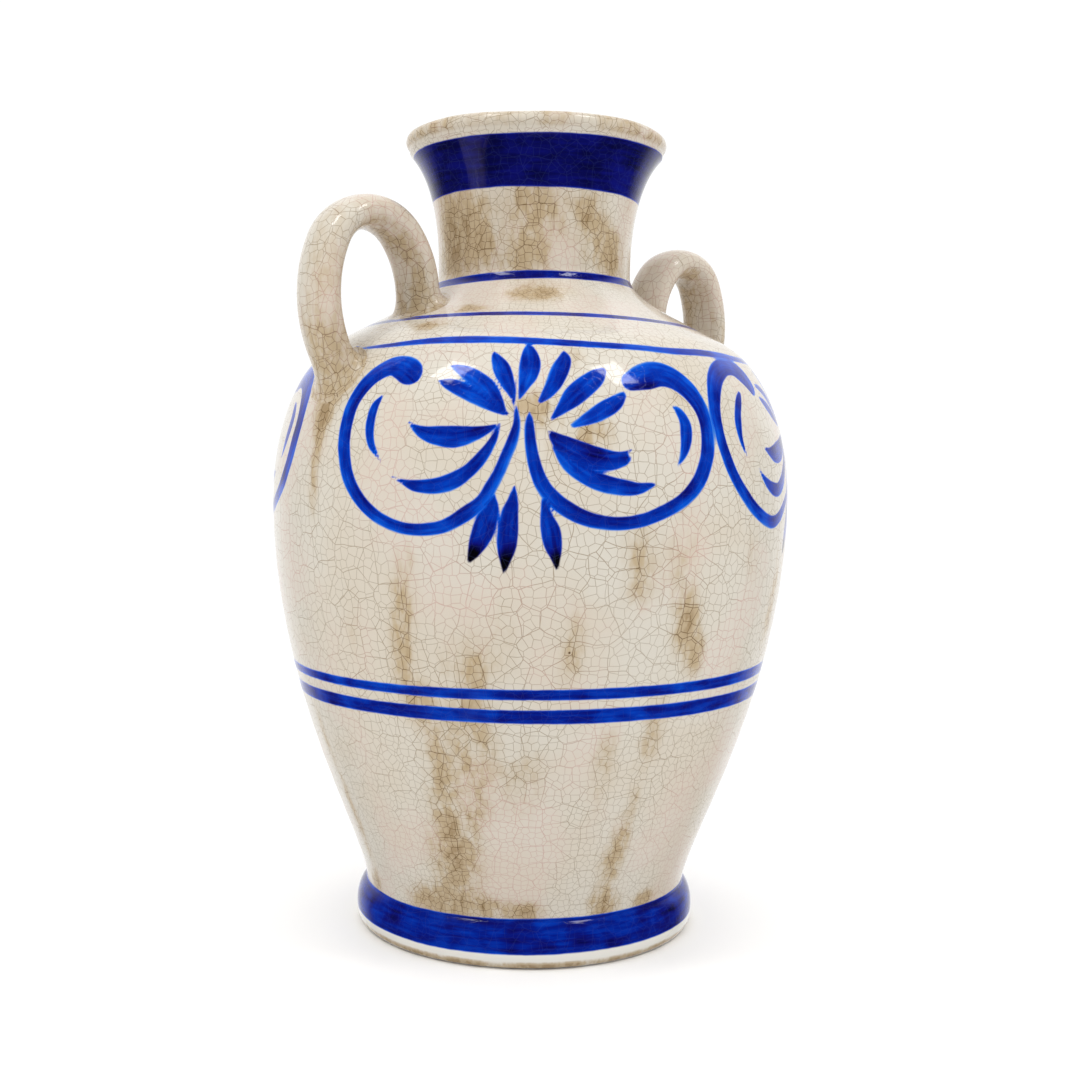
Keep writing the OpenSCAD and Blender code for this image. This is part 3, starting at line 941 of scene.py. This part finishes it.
def make_handle(name, side, arch, arch_r):
    """A strap handle, where side is -1 or 1 along X, with the place and radius of its arch."""
    rows, first, last = strap_rows(side, arch, arch_r)
    count = len(rows)
    normals = grid_normals(rows, False)
    halfway = rows[count // 2]
    outward = np.sum(normals[count // 2] * (halfway - halfway.mean(0)), axis=-1).mean()
    normals *= np.sign(outward)

    # On the fillets the normals turn into the body's own, so that no edge shows
    foot, foot_normal = body_foot(rows)
    gap = np.sum((rows - foot) * foot_normal, axis=-1)
    near = np.clip(1 - gap / 0.8, 0, 1)[..., None]
    near[first:-last] = 0
    normals = normals * (1 - near) + foot_normal * near
    normals /= np.maximum(np.linalg.norm(normals, axis=-1, keepdims=True), 1e-9)

    quads = grid_quads(count, AROUND, False)
    i, j = np.arange(count - 1)[:, None], np.arange(AROUND)[None]
    shares = quad_corners(i, i + 1, j, j + 1) / (AROUND, count - 1)
    run = np.linalg.norm(np.diff(rows, axis=0), axis=-1).mean(axis=1).sum()
    net = np.concatenate([shares * (STRAP_PERIMETER, run) + side * 100,
                          np.zeros(shares.shape[:-1] + (1,))], axis=-1)
    if outward < 0:
        quads = quads[..., ::-1]
        shares, net = (x[..., ::-1, :] for x in (shares, net))
    cap_faces, cap_uvs = fans(count, AROUND, [(0.0, 0.985), (0.5, 0.985)], turned=outward < 0)
    faces = quads.reshape(-1, 4).tolist() + cap_faces
    uvs = np.concatenate([(0.01 + shares * (0.98, 0.95)).reshape(-1, 2)] + cap_uvs)
    net = np.concatenate([net.reshape(-1, 3), np.zeros((3 * len(cap_faces), 3))])
    caps = np.array([rows[0].mean(axis=0), rows[-1].mean(axis=0)])
    points = np.concatenate([rows.reshape(-1, 3), caps])
    normals = np.concatenate([normals.reshape(-1, 3), -body_foot(caps)[1]])

    # Painted shade: the strap's sides that face in, under its arch and towards the body, get the
    # brown of the stains. On top of an even 0.26, the legs also darken towards their roots.
    underside_painted_shade = np.clip(-np.sum(normals * (points - points.mean(0)), axis=-1) / 14, 0, 1)
    root = np.clip(1 - (points[:, 2] - ROOT_Z) / ROOT_REACH, 0, 1)
    layers = bare_layers(np.clip(0.26 + 0.35 * underside_painted_shade + 0.4 * root, 0, 1))
    return new_mesh(name, points, faces, normals, uvs, net, layers)


# ---- materials


def linear(r, g, b):
    """Linear colour from the 0-255 numbers of a screen colour."""
    channels = [c / 255 for c in (r, g, b)]
    return tuple(c / 12.92 if c <= 0.04045 else ((c + 0.055) / 1.055) ** 2.4
                 for c in channels) + (1.0,)


class Nodes:
    """Short calls that add nodes to one node tree."""

    def __init__(self, tree):
        self.tree = tree
        tree.nodes.clear()

    def add(self, kind, inputs=None, **settings):
        node = self.tree.nodes.new(kind)
        for key, value in settings.items():
            setattr(node, key, value)
        for key, value in (inputs or {}).items():
            if isinstance(value, bpy.types.NodeSocket):
                self.tree.links.new(value, node.inputs[key])
            else:
                node.inputs[key].default_value = value
        return node

    def math(self, operation, *values, clamp=False):
        inputs = dict(enumerate(values))
        return self.add("ShaderNodeMath", inputs, operation=operation, use_clamp=clamp).outputs[0]

    def ramp_between(self, value, low, high, to_low=0.0, to_high=1.0):
        inputs = {"Value": value, "From Min": low, "From Max": high,
                  "To Min": to_low, "To Max": to_high}
        return self.add("ShaderNodeMapRange", inputs, interpolation_type="SMOOTHSTEP").outputs[0]

    def blend(self, factor, a, b, mode="MIX"):
        inputs = {0: factor, 6: a, 7: b}
        return self.add("ShaderNodeMix", inputs, data_type="RGBA", blend_type=mode).outputs[2]

    def noise(self, vector, scale, detail=2.0, roughness=0.5):
        inputs = {"Vector": vector, "Scale": scale, "Detail": detail, "Roughness": roughness}
        return self.add("ShaderNodeTexNoise", inputs).outputs["Fac"]

    def scaled(self, vector, factors):
        return self.add("ShaderNodeVectorMath", {0: vector, 1: factors},
                        operation="MULTIPLY").outputs[0]

    def attribute(self, name, output="Fac"):
        return self.add("ShaderNodeAttribute", attribute_name=name).outputs[output]

    def ramp(self, value, stops):
        node = self.add("ShaderNodeValToRGB", {"Fac": value})
        elements = node.color_ramp.elements
        while len(elements) < len(stops):
            elements.new(0.5)
        for element, (position, colour) in zip(elements, stops):
            element.position = position
            element.color = colour
        return node.outputs["Color"]


CREAM = linear(209, 203, 191)
CREAM_WARM = linear(207, 198, 183)
PINK = linear(211, 190, 178)
# Browns of the stains; on the handles they also paint the shade under the strap
STAIN_AND_SHADE_BROWN = linear(174, 149, 108)
STAIN_AND_SHADE_DARK = linear(134, 106, 64)
CRACK_LINE = linear(140, 122, 98)
CRACK_PINK = linear(188, 146, 136)
# Crack lines in the stains, and in the painted shade under the handles
CRACK_IN_STAIN_AND_SHADE = linear(104, 80, 50)
SPECK = linear(84, 58, 34)
STRIP_WHITE = linear(226, 224, 217)
CRACK_IN_COBALT = linear(70, 84, 140)
COBALT_STOPS = [
    (0.00, linear(58, 118, 205)),
    (0.16, linear(6, 84, 204)),
    (0.38, linear(0, 52, 168)),
    (0.58, linear(1, 28, 134)),
    (0.72, linear(8, 12, 104)),
    (0.84, linear(2, 3, 62)),
    (1.00, linear(1, 0, 5)),
]


# Sizes of the crackle's cells, in millimetres
WIDE_CELL = 8.5
FINE_CELL = 2.9


def glaze_material():
    """Crackled cream glaze over clay, with the cobalt strokes that the meshes carry."""
    material = bpy.data.materials.new("crackled_glaze")
    material.use_nodes = True
    n = Nodes(material.node_tree)
    where = n.add("ShaderNodeTexCoord").outputs["Object"]
    stain_and_shade, tone, plain = (n.attribute(name) for name in ("stain_and_shade", "tone", "plain"))

    # Ground colour: cream that drifts to warm and pink, then brown stains run down it. On the handles
    # the same browns are also painted shade under the strap.
    warm = n.ramp_between(n.noise(where, 22, 3), 0.42, 0.64)
    ground = n.blend(warm, CREAM, CREAM_WARM)
    pinkish = n.ramp_between(n.noise(n.scaled(where, (1, 1, 0.8)), 34, 4), 0.46, 0.62)
    ground = n.blend(n.math("MULTIPLY", pinkish, 0.16), ground, PINK)
    ground = n.blend(plain, ground, STRIP_WHITE)
    clouds = n.ramp_between(n.noise(n.scaled(where, (1, 1, 0.55)), 75, 4, 0.6), 0.36, 0.60, 0.35, 1)
    grain = n.ramp_between(n.noise(n.scaled(where, (1, 1, 0.45)), 420, 3, 0.6), 0.34, 0.62, 0.6, 1)
    # Stains, and on the handles painted shade too, broken up into clouds and grain
    stain_and_shade_amount = n.math("MULTIPLY", stain_and_shade, n.math("MULTIPLY", clouds, grain), clamp=True)
    ground = n.blend(n.ramp_between(stain_and_shade_amount, 0.0, 0.6, 0, 0.76), ground, STAIN_AND_SHADE_BROWN)
    ground = n.blend(n.ramp_between(stain_and_shade_amount, 0.6, 1.1, 0, 0.6), ground, STAIN_AND_SHADE_DARK)

    # Crackle: a wide net and a fine net inside it, drawn on the flat map that the meshes carry
    bend = n.add("ShaderNodeTexNoise", {"Vector": where, "Scale": 130.0, "Detail": 1.0})
    shifted = n.add("ShaderNodeVectorMath", {0: bend.outputs["Color"], 1: (-0.5, -0.5, -0.5)},
                    operation="ADD").outputs[0]
    bent = n.add("ShaderNodeVectorMath", {0: shifted, 1: (1.9, 1.9, 0.0),
                                          2: n.attribute("net", "Vector")},
                 operation="MULTIPLY_ADD").outputs[0]
    wide, fine = (
        n.add("ShaderNodeTexVoronoi", {"Vector": bent, "Scale": scale, "Randomness": loose},
              voronoi_dimensions="2D", feature="DISTANCE_TO_EDGE").outputs["Distance"]
        for scale, loose in ((1 / WIDE_CELL, 0.9), (1 / FINE_CELL, 0.72)))
    patches = n.ramp_between(n.noise(where, 26, 3), 0.35, 0.65, 0.8, 1.0)
    wide_lines = n.ramp_between(wide, 0.006, 0.019, 0.72, 0.0)
    fine_lines = n.ramp_between(fine, 0.014, 0.046, 0.64, 0.0)
    lines = n.math("MULTIPLY", n.math("MAXIMUM", wide_lines, fine_lines), patches)
    lines = n.math("MULTIPLY", lines, n.math("SUBTRACT", 1.0, plain))
    darker = n.math("MULTIPLY_ADD", stain_and_shade_amount, 0.35, lines)
    line_strength = n.math("MULTIPLY", darker, n.math("GREATER_THAN", lines, 0.02), clamp=True)
    line_colour = n.blend(pinkish, CRACK_LINE, CRACK_PINK)
    # Crack lines turn brown in the stains, and in the painted shade under the handles
    line_colour = n.blend(n.ramp_between(stain_and_shade_amount, 0.15, 0.6), line_colour, CRACK_IN_STAIN_AND_SHADE)
    ground = n.blend(line_strength, ground, line_colour)

    # Iron specks
    speckle = n.add("ShaderNodeTexVoronoi", {"Vector": where, "Scale": 90.0}).outputs["Distance"]
    often = n.math("MULTIPLY_ADD", stain_and_shade, 0.12, n.noise(where, 47, 2))
    rare = n.ramp_between(often, 0.61, 0.67)
    specks = n.math("MULTIPLY", n.ramp_between(speckle, 0.02, 0.05, 1.0, 0.0), rare)
    ground = n.blend(specks, ground, SPECK)

    # Cobalt: thin and bright at its edges, streaked along the brush's way, dark where it pooled
    ragged = n.ramp_between(n.noise(where, 210, 2, 0.5), 0.2, 0.8, -0.07, 0.07)
    edge = n.math("ADD", n.attribute("paint"), ragged)
    covered = n.ramp_between(edge, -0.34, 0.24, 1.0, 0.0)
    way = n.scaled(n.attribute("brush", "Vector"), (0.07, 0.55, 1.0))
    streaks = n.ramp_between(n.noise(way, 1.0, 3, 0.55), 0.25, 0.75, -0.13, 0.13)
    pools = n.ramp_between(n.noise(where, 95, 2), 0.3, 0.7, -0.12, 0.12)
    uneven = n.math("MULTIPLY", n.math("ADD", streaks, pools),
                    n.ramp_between(tone, 0.62, 0.8, 1.0, 0.4))
    thin_edge = n.ramp_between(edge, -0.9, 0.1, 0.0, -0.34)
    depth = n.math("ADD", n.math("ADD", tone, uneven), thin_edge, clamp=True)
    cobalt = n.ramp(depth, COBALT_STOPS)
    cobalt = n.blend(n.math("MULTIPLY", lines, 0.16), cobalt, CRACK_IN_COBALT)
    colour = n.blend(covered, ground, cobalt)

    # Slow waves in the glaze, and the crackle just felt in it
    waves = n.math("MULTIPLY", n.noise(where, 48, 2), 0.00022)
    dips = n.math("MULTIPLY", lines, -0.000012)
    relief = n.add("ShaderNodeBump", {"Height": n.math("ADD", waves, dips),
                                      "Strength": 1.0, "Distance": 1.0})
    gloss = n.ramp_between(stain_and_shade_amount, 0.0, 1.0, 0.07, 0.22)
    shader = n.add("ShaderNodeBsdfPrincipled", {
        "Base Color": colour, "Roughness": gloss, "IOR": 1.5,
        "Specular IOR Level": 0.3, "Normal": relief.outputs["Normal"]})
    n.add("ShaderNodeOutputMaterial", {"Surface": shader.outputs["BSDF"]})
    return material


def floor_material():
    """Matt white paper."""
    material = bpy.data.materials.new("plain_pale_floor")
    material.use_nodes = True
    n = Nodes(material.node_tree)
    shader = n.add("ShaderNodeBsdfPrincipled", {
        "Base Color": (0.96, 0.96, 0.96, 1), "Roughness": 0.55, "Specular IOR Level": 0.2})
    n.add("ShaderNodeOutputMaterial", {"Surface": shader.outputs["BSDF"]})
    return material


# ---- the stage

CAMERA_DISTANCE = 526.8
CAMERA_HEIGHT = 175.6
CAMERA_PITCH = -3.577
CAMERA_ROLL = 0.973
CAMERA_PAN = 0.410
LENS_MM = 46.53

# The tent as a light, then as glossy rays meet it, then as the camera sees it
TENT_STRENGTH = 0.88
OPENING_STRENGTH = 0.62
CEILING_SHARE = 1.48
MIRRORED_BACK = 1.05
MIRRORED_FRONT = 0.06
BACKDROP_STRENGTH = 1.05

# Two soft boxes, one to each side of the camera, in metres
BOX_TURN = 54
BOX_DISTANCE = 0.75
BOX_HEIGHT = 1.25
BOX_SIZE = (0.24, 0.36)
SHOULDER_HEIGHT = 0.18


def make_camera():
    """The photograph's camera, which looks from the front past the axis a little."""
    data = bpy.data.cameras.new("camera")
    data.sensor_width = 36.0
    data.lens = LENS_MM
    data.clip_start = 0.02
    data.clip_end = 50.0
    camera = bpy.data.objects.new("camera", data)
    bpy.context.scene.collection.objects.link(camera)
    place_it = Matrix.Translation((0, -CAMERA_DISTANCE * MM, CAMERA_HEIGHT * MM))
    camera.matrix_world = (
        Matrix.Rotation(math.radians(FRONT), 4, "Z") @ place_it
        @ Matrix.Rotation(math.radians(-CAMERA_PAN), 4, "Z")
        @ Matrix.Rotation(math.radians(90 + CAMERA_PITCH), 4, "X")
        @ Matrix.Rotation(math.radians(CAMERA_ROLL), 4, "Z"))
    bpy.context.scene.camera = camera


def soft_box(name, azimuth, watts):
    """An area light aimed at the vase's shoulder."""
    data = bpy.data.lights.new(name, "AREA")
    data.shape = "RECTANGLE"
    data.size, data.size_y = BOX_SIZE
    data.energy = watts
    light = bpy.data.objects.new(name, data)
    bpy.context.scene.collection.objects.link(light)
    a = math.radians(azimuth)
    light.location = (BOX_DISTANCE * math.sin(a), -BOX_DISTANCE * math.cos(a), BOX_HEIGHT)
    aim = light.location.copy()
    aim.z -= SHOULDER_HEIGHT
    light.rotation_euler = aim.to_track_quat("Z", "Y").to_euler()


def make_world():
    """White all round, dimmer in front. Glossy rays meet a tent of their own, bright at the back."""
    world = bpy.data.worlds.new("white_tent")
    bpy.context.scene.world = world
    world.use_nodes = True
    n = Nodes(world.node_tree)
    a = math.radians(FRONT)
    view = n.add("ShaderNodeTexCoord").outputs["Generated"]
    toward = n.add("ShaderNodeVectorMath", {0: view, 1: (math.sin(a), -math.cos(a), 0.0)},
                   operation="DOT_PRODUCT").outputs["Value"]
    up = n.add("ShaderNodeSeparateXYZ", {0: view}).outputs["Z"]
    ceiling = n.ramp_between(up, 0.0, 0.9, 1.0, CEILING_SHARE)
    dim = n.ramp_between(toward, 0.45, 0.95, TENT_STRENGTH, OPENING_STRENGTH)
    lit = n.math("MULTIPLY", dim, ceiling)
    front = n.math("MULTIPLY_ADD", n.math("MAXIMUM", up, 0.0), -0.45, toward)
    mirrored = n.ramp_between(front, -0.92, -0.45, MIRRORED_BACK, MIRRORED_FRONT)
    path = n.add("ShaderNodeLightPath").outputs
    strength = n.add("ShaderNodeMix", {0: path["Is Glossy Ray"], 2: lit, 3: mirrored}).outputs[0]
    strength = n.add("ShaderNodeMix", {
        0: path["Is Camera Ray"], 2: strength, 3: BACKDROP_STRENGTH}).outputs[0]
    light = n.add("ShaderNodeBackground", {"Color": (1, 1, 1, 1), "Strength": strength})
    n.add("ShaderNodeOutputWorld", {"Surface": light.outputs["Background"]})


def make_floor():
    """A wide flat disc just under the foot, finer near it."""
    rings, columns, level = np.concatenate([np.linspace(0.02, 1, 12), [2, 4, 8]]), 96, -0.0002
    turns = 2 * math.pi * np.arange(columns) / columns
    points = [(0, 0, level)] + [(r * math.cos(a), r * math.sin(a), level)
                                for r in rings for a in turns]
    faces = []
    for k in range(columns):
        following = (k + 1) % columns
        faces.append((0, 1 + k, 1 + following))
        for a in range(1, 1 + (len(rings) - 1) * columns, columns):
            b = a + columns
            faces.append((a + k, b + k, b + following, a + following))
    mesh = bpy.data.meshes.new("floor")
    mesh.from_pydata(points, [], faces)
    mesh.update()
    floor = bpy.data.objects.new("floor", mesh)
    bpy.context.scene.collection.objects.link(floor)
    floor.data.materials.append(floor_material())
    floor.visible_glossy = False


def main():
    """Sets the stage, makes the pieces and hides the CAD parts that each one stands in for."""
    make_camera()
    make_world()
    make_floor()
    soft_box("left_box", FRONT - BOX_TURN, 3.3)
    soft_box("right_box", FRONT + BOX_TURN, 3.2)
    bpy.context.scene.view_settings.view_transform = "Standard"

    glaze = glaze_material()
    pieces = [
        (make_foot(), "cobalt_glaze", ["foot_ring"]),
        (make_lower_body(), "cream_glaze", ["lower_body"]),
        (make_upper_body(), "cream_glaze", ["upper_body"]),
        (make_neck(), "cream_glaze", ["neck"]),
        (make_lip(), "cream_glaze", ["lip"]),
        (make_handle("left_handle", -1, (72.9, 239.6), 16.7), "cream_glaze",
         ["handle_left", "root_coils_left"]),
        (make_handle("right_handle", 1, (74.6, 239.1), 13.8), "cream_glaze",
         ["handle_right", "root_coils_right"]),
    ]
    for piece, slot, nodes in pieces:
        piece.data.materials.append(glaze)
        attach(piece, "root")
        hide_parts(*nodes)


main()
